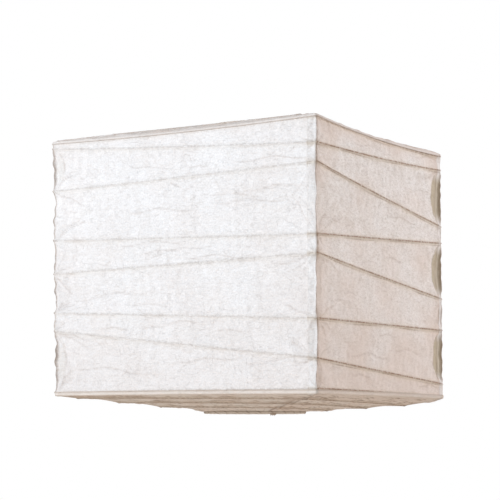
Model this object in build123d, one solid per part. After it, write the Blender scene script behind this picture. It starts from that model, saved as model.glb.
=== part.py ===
from build123d import *
import math
import os

# A square paper lantern. Paper sheets are glued over a continuous rib wire that winds down from
# a wire ring in the top to a wire ring in the bottom. A sprung wire stretcher inside holds the two
# rings apart, and its stamped ring takes the lampholder that the lantern hangs from.
#
# Millimetres, +Z up. The origin is the centre of the lampholder ring. The faces look along X and Y:
# front is -Y, right is +X, back is +Y and left is -X.

# ------------------------------------------------------------------ shade
SHADE_WIDTH = 350.0  # outside, face to face
SIDE_HEIGHT = 304.0  # lower corners to upper corners
TOP_RISE = 24.0  # upper corners to the plane of the top ring
BOTTOM_DROP = 18.0  # lower corners to the plane of the bottom ring
PAPER = 0.4  # one sheet with its glue
FLAP_WIDTH = 12.5  # each side sheet laps this far round its corner
SHEET_GAP = 0.3  # between neighbouring sheets
EDGE_GAP = 0.8  # between a side sheet and the end sheets above and below it

# ------------------------------------------------------------------ rib wire
RIB_WIRE = 1.2
RIB_GAP = 0.05  # between the wire and a side sheet
RIB_ROOF_GAP = 0.3  # between the wire and an end sheet
RIB_BEND = 6.0  # bend of a turn round a vertical corner
END_BEND_GROWTH = 40.0  # the bend grows by this much towards the round rings

# Height of the wire above the lower corners, at the left-front, front-right, right-back and
# back-left corners. The turns are uneven by design, and the wire always runs on downwards.
SIDE_TURNS = [
    (301.0, 302.0, 300.5, 299.0),
    (295.0, 273.0, 285.0, 264.0),
    (243.0, 253.0, 215.0, 200.0),
    (184.0, 173.0, 195.0, 170.0),
    (144.0, 153.0, 124.0, 112.0),
    (98.0, 81.0, 85.0, 80.0),
    (77.0, 38.0, 18.0, 10.0),
    (4.5, 6.0, 3.0, 2.0),
]
# The same wire in the top and bottom: 0 is the square edge, and 1 is beside the round ring.
TOP_TURNS = [
    (0.93, 0.87, 0.80, 0.73),
    (0.66, 0.59, 0.52, 0.45),
    (0.38, 0.31, 0.24, 0.17),
]
BOTTOM_TURNS = [
    (0.14, 0.20, 0.27, 0.34),
    (0.41, 0.48, 0.55, 0.62),
    (0.69, 0.76, 0.83, 0.90),
]

# ------------------------------------------------------------------ rings
RING_RADIUS = 60.0
RING_WIRE = 3.0
BINDING = 0.4  # paper wrapped round each ring's wire
BINDING_GAP = 0.05
BINDING_WRAP = 300.0  # degrees of the wire's girth that the paper covers
RING_TO_SHEET = 0.5
TAIL_LENGTH = 9.0  # loose end of the bottom binding
TAIL_DROP = 3.5
TAIL_TURN = 50.0  # degrees round from the front towards the right

# ------------------------------------------------------------------ stretcher
LAMPHOLDER_BORE = 21.0  # radius
LAMPHOLDER_RING = 28.0  # outer radius
LAMPHOLDER_PLATE = 1.5
RING_ABOVE_SHADE = 5.0  # lampholder ring above the top ring
STRETCHER_WIRE = 2.5
WELD_RADIUS = 24.0  # where each arm ends under the lampholder ring
ARM_REACH = 49.0
LEG_RADIUS = 54.0
SHOULDER_RADIUS = 61.0  # bend that carries the top ring from below
SHOULDER_DROP = 6.8
FOOT_RADIUS = 56.5  # bend that stands inside the bottom ring
FOOT_RISE = 12.0
FOOT_BAR_HALF = 40.0
LEG_BEND = 3.0

# ------------------------------------------------------------------ worked out
TOP_RING_Z = -RING_ABOVE_SHADE
UPPER_Z = TOP_RING_Z - TOP_RISE
LOWER_Z = UPPER_Z - SIDE_HEIGHT
BOTTOM_RING_Z = LOWER_Z - BOTTOM_DROP
SHEET_FACE = SHADE_WIDTH / 2 - PAPER - SHEET_GAP  # outer face of a side sheet, under the flap
RIB_CORNER = SHEET_FACE - PAPER - RIB_WIRE / 2 - RIB_GAP
RIB_INSIDE_SHEET = PAPER / 2 + RIB_WIRE / 2 + RIB_ROOF_GAP
BINDING_INNER = RING_WIRE / 2 + BINDING_GAP
BINDING_OUTER = BINDING_INNER + BINDING
SHEET_INNER_RADIUS = RING_RADIUS + BINDING_OUTER + RING_TO_SHEET
ENDS = {"top": (UPPER_Z, TOP_RING_Z, -1), "bottom": (LOWER_Z, BOTTOM_RING_Z, 1)}
SIDES = ["right", "back", "left", "front"]


def wire(points, radii, diameter):
    """Round wire along straight runs with a bend at each inner point."""
    path = FilletPolyline(*points, radius=radii)
    return sweep((path ^ 0) * Circle(diameter / 2), path=path)


# ------------------------------------------------------------------ paper
def side_sheet():
    """The right side of the shade, with the flap that laps round its front corner."""
    bottom = LOWER_Z + EDGE_GAP
    height = SIDE_HEIGHT - 2 * EDGE_GAP
    corner = SHADE_WIDTH / 2
    to_next_flap = corner + SHEET_FACE - PAPER - SHEET_GAP
    sheet = Box(PAPER, to_next_flap, height, align=(Align.MAX, Align.MIN, Align.MIN))
    flap = Box(FLAP_WIDTH, PAPER, height, align=(Align.MAX, Align.MIN, Align.MIN))
    place = Pos(SHEET_FACE, -corner, bottom)
    return place * sheet + place * flap


def end_sheet(end):
    """The right-hand sheet between a square edge and a quarter of a ring."""
    edge_z, ring_z, _ = ENDS[end]
    out = SHEET_FACE - PAPER
    half = out - SHEET_GAP
    edge = Line((out, -half, edge_z), (out, half, edge_z))
    quarter = math.radians(45) - SHEET_GAP / SHEET_INNER_RADIUS
    x = SHEET_INNER_RADIUS * math.cos(quarter)
    y = SHEET_INNER_RADIUS * math.sin(quarter)
    arc = ThreePointArc((x, -y, ring_z), (SHEET_INNER_RADIUS, 0, ring_z), (x, y, ring_z))
    surface = Face.make_surface_from_curves(edge.edge(), arc.edge())
    return thicken(surface, amount=PAPER / 2, both=True)


# ------------------------------------------------------------------ rib wire
def side_corner(height, quarter):
    """A point on the rib wire at a vertical corner, quarter turns on from left-front."""
    x, y = [(-1, -1), (1, -1), (1, 1), (-1, 1)][quarter % 4]
    return Vector(x * RIB_CORNER, y * RIB_CORNER, LOWER_Z + height)


def end_point(end, share, quarter):
    """A point on the rib wire in the top or bottom, quarter turns on from left-front."""
    edge_z, ring_z, inwards = ENDS[end]
    corner = math.floor(quarter)
    start = side_corner(0, corner)
    square = start + (side_corner(0, corner + 1) - start) * (quarter - corner)
    angle = math.radians(90 * quarter - 135)
    x = square.X * (1 - share) + SHEET_INNER_RADIUS * math.cos(angle) * share
    y = square.Y * (1 - share) + SHEET_INNER_RADIUS * math.sin(angle) * share
    return Vector(x, y, edge_z + (ring_z - edge_z) * share + inwards * RIB_INSIDE_SHEET)


def corner_point(stations, quarter):
    """The wire at one of its corners, and how large its bend is there."""
    zone, value = stations[quarter]
    if zone == "side":
        return side_corner(value, quarter), RIB_BEND
    return end_point(zone, value, quarter), RIB_BEND + value * END_BEND_GROWTH


def run_points(stations, quarter):
    """The inner points of an arched run in an end sheet. A straight run has none."""
    zone, value = stations[quarter]
    next_zone, next_value = stations[quarter + 1]
    if zone == "side" or zone != next_zone:
        return []
    shares = [(s, value + (next_value - value) * s) for s in (0.25, 0.5, 0.75)]
    return [end_point(zone, share, quarter + s) for s, share in shares]


def cut_run(stations, quarter):
    """A run cut in two near its middle: the points before the cut, the cut, and those after."""
    inner = run_points(stations, quarter)
    if inner:
        return inner[:2], (inner[1] + inner[2]) * 0.5, inner[2:]
    start, _ = corner_point(stations, quarter)
    end, _ = corner_point(stations, quarter + 1)
    return [], (start + end) * 0.5, []


def smooth_radius(before, point, after):
    """The largest easy bend between two neighbouring runs."""
    turn = math.radians((point - before).get_angle(after - point))
    return 0.45 * min((point - before).length, (after - point).length) / math.tan(turn / 2)


def rib_turn(stations, turn):
    """One turn of the wire, cut near the middle of the left side."""
    first, last = 4 * turn, 4 * turn + 3
    points, bends = [], []
    if first > 0:
        _, cut, after = cut_run(stations, first - 1)
        points += [cut, *after]
        bends += [None] * len(points)
    for quarter in range(first, last + 1):
        point, bend = corner_point(stations, quarter)
        points.append(point)
        bends.append(bend)
        if quarter < last:
            inner = run_points(stations, quarter)
        elif last + 1 < len(stations):
            before, cut, _ = cut_run(stations, last)
            inner = [*before, cut]
        else:
            inner = []
        points += inner
        bends += [None] * len(inner)
    radii = []
    for before, point, after, bend in zip(points, points[1:], points[2:], bends[1:]):
        easy = smooth_radius(before, point, after)
        radii.append(easy if bend is None else min(bend, easy))
    return wire(points, radii, RIB_WIRE)


def ribs():
    """Every turn of the rib wire, from the top ring down to the bottom ring."""
    zones = [("top", TOP_TURNS), ("side", SIDE_TURNS), ("bottom", BOTTOM_TURNS)]
    stations = [(zone, value) for zone, turns in zones for turn in turns for value in turn]
    names = [f"{zone}_rib_{i + 1}" for zone, turns in zones for i in range(len(turns))]
    return {name: rib_turn(stations, turn) for turn, name in enumerate(names)}


# ------------------------------------------------------------------ rings
def ring(z):
    return Pos(0, 0, z) * Torus(RING_RADIUS, RING_WIRE / 2)


def binding(z, open_towards):
    """Paper wrapped round a ring's wire. It is open on the side where the sheets come in."""
    angles = [math.radians(open_towards + 180 + a) for a in (-BINDING_WRAP / 2, 0, BINDING_WRAP / 2)]

    def around(radius):
        at = [(RING_RADIUS + radius * math.cos(a), 0, z + radius * math.sin(a)) for a in angles]
        return ThreePointArc(*at)

    outer, inner = around(BINDING_OUTER), around(BINDING_INNER)
    outline = outer + inner + Line(outer @ 0, inner @ 0) + Line(outer @ 1, inner @ 1)
    return revolve(make_face(outline), Axis.Z)


def binding_tail():
    """The loose end of the paper round the bottom ring."""
    top = BOTTOM_RING_Z - BINDING_OUTER
    align = (Align.CENTER, Align.CENTER, Align.MAX)
    tail = Pos(0, -RING_RADIUS, top) * Box(TAIL_LENGTH, BINDING, TAIL_DROP, align=align)
    return Rot(0, 0, TAIL_TURN) * tail


# ------------------------------------------------------------------ stretcher
def lampholder_ring():
    return Cylinder(LAMPHOLDER_RING, LAMPHOLDER_PLATE) - Cylinder(LAMPHOLDER_BORE, 2 * LAMPHOLDER_PLATE)


def stretcher_leg():
    """The right-hand arm, shoulder, leg and foot, bent from one wire."""
    arm_z = -(LAMPHOLDER_PLATE + STRETCHER_WIRE) / 2
    shoulder_z = TOP_RING_Z - SHOULDER_DROP
    points = [
        (WELD_RADIUS, 0, arm_z),
        (ARM_REACH, 0, arm_z),
        (LEG_RADIUS, 0, shoulder_z + 7.5),
        (SHOULDER_RADIUS, 0, shoulder_z),
        (LEG_RADIUS, 0, shoulder_z - 10),
        (LEG_RADIUS, 0, BOTTOM_RING_Z + 2 * FOOT_RISE),
        (FOOT_RADIUS, 0, BOTTOM_RING_Z + FOOT_RISE),
        (LEG_RADIUS - 2, 0, BOTTOM_RING_Z),
        (FOOT_BAR_HALF, 0, BOTTOM_RING_Z),
    ]
    return wire(points, [LEG_BEND] * (len(points) - 2), STRETCHER_WIRE)


def foot_bar():
    """The straight wire between the two feet, across the bottom ring."""
    return Pos(0, 0, BOTTOM_RING_Z) * Rot(0, 90, 0) * Cylinder(STRETCHER_WIRE / 2, 2 * FOOT_BAR_HALF)


# ------------------------------------------------------------------ assembly
def lantern():
    """Every node of the lantern, by name."""
    nodes = ribs()
    for count, side in enumerate(SIDES):
        turned = Rot(0, 0, 90 * count)
        nodes[f"side_paper_{side}"] = turned * side_sheet()
        for end in ENDS:
            nodes[f"{end}_paper_{side}"] = turned * end_sheet(end)
    nodes["top_ring"] = ring(TOP_RING_Z)
    nodes["top_binding"] = binding(TOP_RING_Z, open_towards=-15)
    nodes["bottom_ring"] = ring(BOTTOM_RING_Z)
    nodes["bottom_binding"] = binding(BOTTOM_RING_Z, open_towards=10)
    nodes["binding_tail"] = binding_tail()
    nodes["lampholder_ring"] = lampholder_ring()
    nodes["stretcher_leg_right"] = stretcher_leg()
    nodes["stretcher_leg_left"] = Rot(0, 0, 180) * stretcher_leg()
    nodes["stretcher_foot_bar"] = foot_bar()
    return nodes


os.makedirs("parts", exist_ok=True)
for name, shape in lantern().items():
    export_step(shape, f"parts/{name}.step")
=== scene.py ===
import math
import bmesh
import bpy
import numpy as np
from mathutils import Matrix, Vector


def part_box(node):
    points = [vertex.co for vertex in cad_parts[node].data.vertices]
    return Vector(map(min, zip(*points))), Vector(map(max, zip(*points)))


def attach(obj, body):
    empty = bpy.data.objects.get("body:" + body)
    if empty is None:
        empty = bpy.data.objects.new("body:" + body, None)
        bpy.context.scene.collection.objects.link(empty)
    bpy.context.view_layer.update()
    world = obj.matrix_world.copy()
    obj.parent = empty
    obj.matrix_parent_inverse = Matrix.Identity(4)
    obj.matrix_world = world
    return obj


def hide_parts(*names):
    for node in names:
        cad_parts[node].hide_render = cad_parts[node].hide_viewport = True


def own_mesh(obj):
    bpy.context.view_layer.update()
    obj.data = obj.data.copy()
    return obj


# A square paper lantern, hung by its wire stretcher. Everything is in metres, in the frame of the
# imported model. Sides are counted 0 front, 1 right, 2 back and 3 left. Side s runs from corner s to
# corner s + 1, so corner 0 is left-front, 1 front-right, 2 right-back and 3 back-left.

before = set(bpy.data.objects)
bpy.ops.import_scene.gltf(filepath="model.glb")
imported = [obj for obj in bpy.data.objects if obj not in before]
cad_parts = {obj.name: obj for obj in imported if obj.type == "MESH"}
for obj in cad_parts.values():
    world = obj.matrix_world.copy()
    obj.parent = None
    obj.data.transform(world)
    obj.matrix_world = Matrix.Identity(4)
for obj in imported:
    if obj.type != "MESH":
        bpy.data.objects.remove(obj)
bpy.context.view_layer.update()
scene = bpy.context.scene

MM = 0.001
SIDES = ["front", "right", "back", "left"]

# ---------- sizes taken from the frame
NEAR_CORNER, NEAR_MIDDLE = 12 * MM, 25 * MM  # where CAD ribs are read
RIB_RADIUS = 0.6 * MM
PAPER_LIFT = 0.1 * MM  # the paper over a rib's wire
SHEET_HALF = 0.2 * MM  # half of a CAD end sheet
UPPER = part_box("top_paper_right")[0].z + SHEET_HALF
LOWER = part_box("bottom_paper_right")[1].z - SHEET_HALF
HEIGHT = UPPER - LOWER
RIB_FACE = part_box("side_rib_4")[1].x - RIB_RADIUS
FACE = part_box("side_paper_right")[1].x - SHEET_HALF
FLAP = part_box("side_paper_front")[1].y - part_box("side_paper_front")[0].y
RING_WIRE = (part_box("top_ring")[1].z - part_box("top_ring")[0].z) / 2
RING_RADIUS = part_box("top_ring")[1].x - RING_WIRE
RING_Z = {end: sum(corner.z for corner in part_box(end + "_ring")) / 2 for end in ("top", "bottom")}
BINDING_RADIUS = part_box("top_binding")[1].x - RING_RADIUS

SIDE_RIBS = sorted(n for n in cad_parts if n.startswith("side_rib_"))
END_RIBS = {end: sorted(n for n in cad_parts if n.startswith(end + "_rib_")) for end in RING_Z}


def side_turn(side):
    """Turns a shape made for the front to a side."""
    c, s = [(1, 0), (0, 1), (-1, 0), (0, -1)][side % 4]
    return np.array([[c, -s, 0], [s, c, 0], [0, 0, 1]], float)


def node_points(node):
    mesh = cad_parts[node].data
    points = np.zeros(len(mesh.vertices) * 3)
    mesh.vertices.foreach_get("co", points)
    return points.reshape(-1, 3)


def rib_height(node, corner):
    """Height of a side rib above the lower corners, at a vertical corner."""
    points = node_points(node)
    at = np.array([(-1, -1), (1, -1), (1, 1), (-1, 1)][corner % 4]) * RIB_FACE
    near = np.linalg.norm(points[:, :2] - at, axis=1) < NEAR_CORNER
    return float(points[near, 2].mean()) - LOWER


def rib_shares(node):
    """How far in an end rib is at the four corners: 0 at the square edge, 1 at the ring."""
    middles = []
    for side in range(3):
        points = node_points(node) @ side_turn(side)
        middle = (np.abs(points[:, 0]) < NEAR_MIDDLE) & (points[:, 1] < 0)
        reach = np.abs(points[middle, 1]).max() - RIB_RADIUS
        middles.append((RIB_FACE - reach) / (RIB_FACE - RING_RADIUS - BINDING_RADIUS))
    a, b, c = middles
    return [a + (a - b) / 2, (a + b) / 2, (b + c) / 2, c - (b - c) / 2]


TURNS = [[rib_height(node, corner) for corner in range(4)] for node in SIDE_RIBS]
END_TURNS = {end: [rib_shares(node) for node in END_RIBS[end]] for end in RING_Z}

# ---------- the paper's own shape
D = FACE  # a side runs from -D to D
END_SLOPE = FACE - RING_RADIUS  # from a side's face in to the ring
QUARTER = math.radians(90)
TINY, SAME = 1e-6, 1e-7  # points that are SAME apart are one
UP = {"top": 1, "bottom": -1}  # which way is outwards
AT_EDGE = 0.02  # share where the wire passes from an end to the sides

# Edges and laps
EDGE_ROLL = 1.6 * MM  # radius of the fold along the upper and lower edges
EDGE_ROW = {"top": 0, "bottom": -1}  # which of a side's lines is its upper or lower edge
EDGE_GAP = 0.2 * MM  # from a side sheet to the end sheets
LIP = {"top": 3.5 * MM, "bottom": 5.0 * MM}  # of the end sheets, over the sides
LIP_STEPS = (1, 0.8, 0.6, 0.45, 0.32, 0.22, 0.13, 0.06)
LIP_LIFT = 0.6 * MM
LIP_LAP_LIFT = 0.9 * MM  # over the next lip
# browning and painted shade on the lips, more under the lower edge
LIP_BROWNING_AND_SHADE = {"top": 0.5, "bottom": 1.0}
LIP_GLUE = 0.4
LIP_LINE = (0.8, 0.5)  # how dark the painted shade along its free edge is, in its first rows
FLAP_LIFT = 0.35 * MM
FLAP_FADE = 9 * MM  # the lift dies away over this length past the corner
FLAP_STEP, FLAP_NEAR = 1.25 * MM, 1.2 * MM  # between its columns, and where they end
FLAP_LAST = (0.7 * MM, 0.3 * MM)  # the last ones before the corner
FLAP_STAIN_AND_SHADOW = (0.8, 0.5, 1.0, 1.0)  # how much of the ribs' stain and painted shadow shows on it, side by side
FLAP_LINE = 0.2  # how dark the painted shade along its free edge is
END_FLAP = 7 * MM  # of the end sheets, over each other
END_FLAP_STEP = 1.4 * MM

# Ribs and the relief between them
RIDGE = 0.55 * MM  # how far a rib stands out of the paper beside it
RIDGE_WIDTH = 1.1 * MM
CALM = 3 * MM  # the relief dies away this near a line
RELIEF_START = 20 / 3 * MM  # and this near a corner
SAG_START = 20 * MM
SAG = {"share": 0.035, "most": 1.6 * MM}  # of a side's paper between two lines
# A side's relief: height and length in mm, share of the run along the side, and number of waves
SIDE_RELIEF = ((0.45, 60, 1.0, 14), (0.22, 17, 1.0, 14), (0.10, 7, 0.4, 24))

# How far a side's edges bow in and sag, and its corners rise, in mm
EDGE_BOW = {"top": (3.5, 4.5, 4.0, 4.5), "bottom": (3.0, 3.0, 3.5, 3.5)}
EDGE_SAG = {"top": (2.0, 3.3, 2.4, 1.6), "bottom": (-0.6, -0.6, -0.8, -0.8)}
CORNER_LIFT = {"top": (-1.0, 2.5, 5.2, 0.5), "bottom": (0.0, -1.2, -0.8, 0.0)}
EDGE_FADE = 8  # power by which an edge's sag and rise die away over the height
NEXT_BOW = 0.85  # share of an edge's bow in the rib next to it
RIB_BOW = np.random.default_rng(41).uniform(0.4, 2.2, (4, 8))  # of each side's ribs, in mm
# How far each corner leans out at the top, over the side that ends there and the other, in mm
LEAN = ((8.0, 0.0), (0.0, 0.0), (0.0, 0.5), (0.6, 0.0))

# The top and bottom
SWELL = {"top": (4.5, 3.5, 6.5, 4.0), "bottom": (0.6, 2.5, 6.0, 2.5)}  # beside the edge, in mm
SWELL_REACH = 0.07  # share of the way in where most of it is reached
NARROWS = 0.72  # share of its width that a quarter loses on its way to the ring
INTO_BINDING = 0.7 * MM
SEAM_CALM = 6 * MM
SEAM_WIDTH = {"top": 1.0 * MM, "bottom": 2.4 * MM}  # width of the painted shade along the crease where two quarters meet
STAIN_AND_SHADOW_SHARE = {"top": 1.0, "bottom": 0.5}  # less where the ribs' stain and painted shadow lines are wider
END_SAG = {"top": 1.0, "bottom": 1.35}  # how deep the paper sags between the ribs
END_BROWNING_AND_SHADE = (0.35, 0.85, 0.6, 0.5)  # how brown the top and bottom are painted, side by side: painted shade, browner where less light falls
END_SEED = {"top": 50, "bottom": 60}
LINE_SHADE = {"top": 0.6, "bottom": 1.0}  # how dark the fine folds beside the ribs are
RING_FAN = 40  # pleats that run out from a ring

# The vertical corners
MIN_RADIUS, MAX_RADIUS = 1.0 * MM, 3.6 * MM  # between the ribs, and at them
WIDE_BAND = 24 * MM  # a band this high reaches the smallest radius
CORNER_PULL = (1.7, 0.8, 0.7, 0.9)  # how far each stands back between the ribs, in mm
CORNER_WIGGLE = (1.0, 0.5, 0.4, 0.6)  # and how unevenly
PULL_REACH = 14 * MM
CORNER_LINE = {1: 2.8 * MM, -1: 1.5 * MM}  # width of the painted shade along it where a side starts, and ends

# Tucks at a corner, crescents that dip between two ribs: for each corner, the band under a line,
# then the tuck's width and depth in mm on the side that ends there and on the one that starts.
TUCKS = {
    0: {2: (9, 1.5, 18, 3.2), 3: (7, 0.8, 6, 0.8), 4: (6, 0.6, 9, 1.2), 5: (6, 0.8, 8, 1.2),
        7: (9, 1.5, 17, 3.2)},
    1: {1: (9, 0.9, 7, 1.0), 3: (8, 1.0, 30, 1.6), 5: (10, 1.2, 12, 1.4), 6: (13, 2.8, 6, 0.8),
        7: (7, 0.8, 12, 1.4)},
    2: {2: (30, 4.6, 10, 1.5), 3: (11, 1.4, 6, 0.8), 4: (29, 4.8, 10, 1.5), 5: (13, 2.2, 8, 1.0),
        6: (28, 4.6, 10, 1.5)},
    3: {2: (26, 3.6, 9, 1.4), 3: (6, 1.0, 12, 1.8), 4: (9, 1.4, 24, 3.6), 6: (22, 3.6, 9, 1.4)},
}
NO_TUCK = 1 * MM  # width of a tuck where there is none
TUCK_VALLEY = {"share": 0.28, "most": 5 * MM}  # how far from the corner a tuck is deepest
TUCK_SHADE = (0.25, 1.0, 0.8, 0.8)  # how dark the painted shade in it is, side by side
TUCK_LINE = (0.55, 1.0, 0.8, 0.8)  # and the painted shade along its outline
TUCK_LINE_WIDTH = 1.1 * MM


def bell(distance, width):
    return np.exp(-((distance / width) ** 2))


def unit(values):
    return np.clip(values, 0, 1)


def side_lines(side):
    """Heights at the two ends of a side, of its upper edge, each rib and its lower edge."""
    if side < 3:
        pairs = [(turn[side], turn[side + 1]) for turn in TURNS]
    else:
        pairs = [(turn[3], below[0]) for turn, below in zip(TURNS, TURNS[1:])]
    low, high = ([x * MM for x in CORNER_LIFT[end]] for end in ("bottom", "top"))
    after = (side + 1) % 4

    def lifted(height, corner):
        share = height / HEIGHT
        return height + high[corner] * share**EDGE_FADE + low[corner] * (1 - share) ** EDGE_FADE

    pairs = [(lifted(a, side), lifted(b, after)) for a, b in pairs]
    return [(HEIGHT + high[side], HEIGHT + high[after]), *pairs, (low[side], low[after])]


def end_lines(end, side):
    """Shares at the two ends of a side, of an end's square edge, each rib and its ring."""
    turns = END_TURNS[end]
    crossing = [(turn[3], below[0]) for turn, below in zip(turns, turns[1:])]
    if side < 3:
        pairs = [(turn[side], turn[side + 1]) for turn in turns]
    elif end == "top":
        pairs = [*crossing, (turns[-1][3], AT_EDGE)]
    else:
        pairs = [(AT_EDGE, turns[0][0]), *crossing]
    return [(0.0, 0.0), *sorted(pairs), (1.0, 1.0)]


def line_heights(side, q):
    """Heights of a side's lines at q, one row for each line."""
    t = (q + D) / (2 * D)
    arch = 1 - (q / D) ** 2
    high, low = EDGE_SAG["top"][side], EDGE_SAG["bottom"][side]
    rows = [start + (end - start) * t for start, end in side_lines(side)]
    rows[0] = rows[0] - high * MM * arch
    rows[-1] = rows[-1] - low * MM * arch
    for k in range(1, len(rows) - 1):
        share = unit(rows[k] / HEIGHT)
        droop = high * share**EDGE_FADE + low * (1 - share) ** EDGE_FADE
        rows[k] = rows[k] - droop * MM * arch
    return np.array(rows)


def line_bows(side, q):
    """How far in a side's lines are at q, one row for each line."""
    arch = 1 - (q / D) ** 2
    high, low = EDGE_BOW["top"][side], EDGE_BOW["bottom"][side]
    ribs = RIB_BOW[side][: len(side_lines(side)) - 2].copy()
    ribs[0], ribs[-1] = NEXT_BOW * high, NEXT_BOW * low
    return np.array([bow * MM * arch for bow in (high, *ribs, low)])


def waves(u, v, seed, length, count=14, spread=0.5):
    """Smooth noise of about unit height: sines in random directions."""
    own = np.random.default_rng(seed)
    total = np.zeros(np.broadcast(u, v).shape)
    for _ in range(count):
        angle = own.uniform(0, math.pi)
        k = 2 * math.pi / (length * own.uniform(1 - spread, 1 + spread))
        phase = own.uniform(0, 2 * math.pi)
        total += np.sin(k * (u * math.cos(angle) + v * math.sin(angle)) + phase)
    return total / math.sqrt(count / 2)


class Crease:
    """A fold line from one point of a sheet to another, sharper on one side of it."""

    LINE = 0.8 * MM  # width of the painted shade along it
    BEND, BENDS = 0.02, 3.1  # how far it bends, as a share of its length, and how often
    TAPER = 5  # it fades over the first and last fifth of its length

    def __init__(self, start, end, height, width, skew):
        self.start = np.array(start, float)
        self.end = np.array(end, float)
        self.height, self.width, self.skew = height, width, skew

    def field(self, u, v):
        """The fold's height, and its nearness from 0 to 1."""
        along = self.end - self.start
        length = np.linalg.norm(along)
        along /= length
        du, dv = u - self.start[0], v - self.start[1]
        t = np.clip((du * along[0] + dv * along[1]) / length, -0.2, 1.2)
        off = dv * along[0] - du * along[1]
        off = off + self.BEND * length * np.sin(self.BENDS * t * math.pi)
        taper = unit(np.minimum(t, 1 - t) * self.TAPER)
        side = np.where(off > 0, 1.0, self.skew)
        near = np.exp(-np.abs(off) / (self.width * side))
        return self.height * near * taper, bell(off, self.LINE) * taper


def band_folds(own, upper, lower):
    """Long shallow folds along a band between two lines."""
    folds = []
    for _ in range(own.integers(2, 5)):
        start = own.uniform(-D, 0.6 * D)
        length = own.uniform(30, 130) * MM
        depth = own.uniform(0.2, 0.8)
        t = (start + D) / (2 * D)
        top = upper[0] + (upper[1] - upper[0]) * t
        low = lower[0] + (lower[1] - lower[0]) * t
        z = top + (low - top) * depth
        end = (start + length, z + own.normal(0, 0.05) * length)
        height = own.choice([-1, 1]) * 0.7 * MM
        folds.append(Crease((start, z), end, height, 4.5 * MM, 0.3))
    return folds


def corner_folds(own, at, top, low):
    """Folds that run out of the corners of a band, at one end of a side."""
    folds = []
    for _ in range(own.integers(3, 6)):
        from_top = own.random() < 0.5
        z = top - 1 * MM if from_top else low + 1 * MM
        reach = own.uniform(0.35, 1.1) * (top - low)
        angle = own.uniform(20, 75) * math.pi / 180
        du = reach * math.cos(angle) * (1 if at < 0 else -1)
        dv = reach * math.sin(angle) * (-1 if from_top else 1) * 0.6
        height = own.choice([-1, 1]) * own.uniform(0.5, 1.1) * MM
        start = (at * 0.985, z)
        folds.append(Crease(start, (start[0] + du, z + dv), height, 4 * MM, 0.25))
    return folds


def stray_folds(own):
    """Short folds anywhere on a side."""
    folds = []
    for _ in range(9):
        u, v = own.uniform(-0.95 * D, 0.9 * D), own.uniform(6 * MM, HEIGHT - 6 * MM)
        angle = own.uniform(0, math.pi)
        reach = own.uniform(8, 28) * MM
        end = (u + reach * math.cos(angle), v + reach * math.sin(angle))
        folds.append(Crease((u, v), end, own.choice([-1, 1]) * 0.5 * MM, 3.2 * MM, 0.4))
    return folds


def side_creases(side):
    own = np.random.default_rng(100 + side)
    lines = side_lines(side)
    folds = []
    for upper, lower in zip(lines, lines[1:]):
        if min(upper[0] - lower[0], upper[1] - lower[1]) > 14 * MM:
            folds += band_folds(own, upper, lower)
        for at, top, low in ((-D, upper[0], lower[0]), (D, upper[1], lower[1])):
            if top - low >= 18 * MM:
                folds += corner_folds(own, at, top, low)
    return folds + stray_folds(own)


CREASES = [side_creases(side) for side in range(4)]


def edge_roll(from_edge):
    """How far the paper has turned in, so far from the upper or lower edge."""
    rest = unit(1 - np.abs(from_edge) / EDGE_ROLL)
    return EDGE_ROLL * (1 - np.sqrt(1 - rest**2))


def corner_shape(corner, z):
    """A vertical corner at height z: its share between ribs, its radius, the widths and depths of
    its tucks, its pull along each side, and how far in the paper is."""
    corner %= 4
    heights = [pair[1] for pair in side_lines(2)] if corner == 3 else [a for a, _ in side_lines(corner)]
    between = np.zeros_like(z)
    sizes = [np.full_like(z, NO_TUCK), np.zeros_like(z), np.full_like(z, NO_TUCK), np.zeros_like(z)]
    for band, (top, low) in enumerate(zip(heights, heights[1:])):
        t = unit((top - z) / (top - low))
        lens = 4 * t * (1 - t)
        between = np.maximum(between, unit(lens * (top - low) / WIDE_BAND))
        if band in TUCKS[corner]:
            tuck = [x * MM for x in TUCKS[corner][band]]
            for k in (0, 2):
                sizes[k] = np.maximum(sizes[k], tuck[k] * lens**0.55)
                sizes[k + 1] = np.maximum(sizes[k + 1], tuck[k + 1] * lens**0.7)
    wiggle = [waves(z, 0 * z, 80 + 10 * k + corner, 22 * MM, 6) for k in range(2)]
    pulls = [between * MM * (CORNER_PULL[corner] + CORNER_WIGGLE[corner] * w) for w in wiggle]
    rib = np.min([np.abs(z - height) for height in heights[1:-1]], axis=0)
    inset = RIDGE * (1 - bell(rib, RIDGE_WIDTH)) + edge_roll(heights[0] - z) + edge_roll(z - heights[-1])
    radius = MAX_RADIUS + (MIN_RADIUS - MAX_RADIUS) * between
    return between, radius, sizes, pulls, inset


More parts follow.
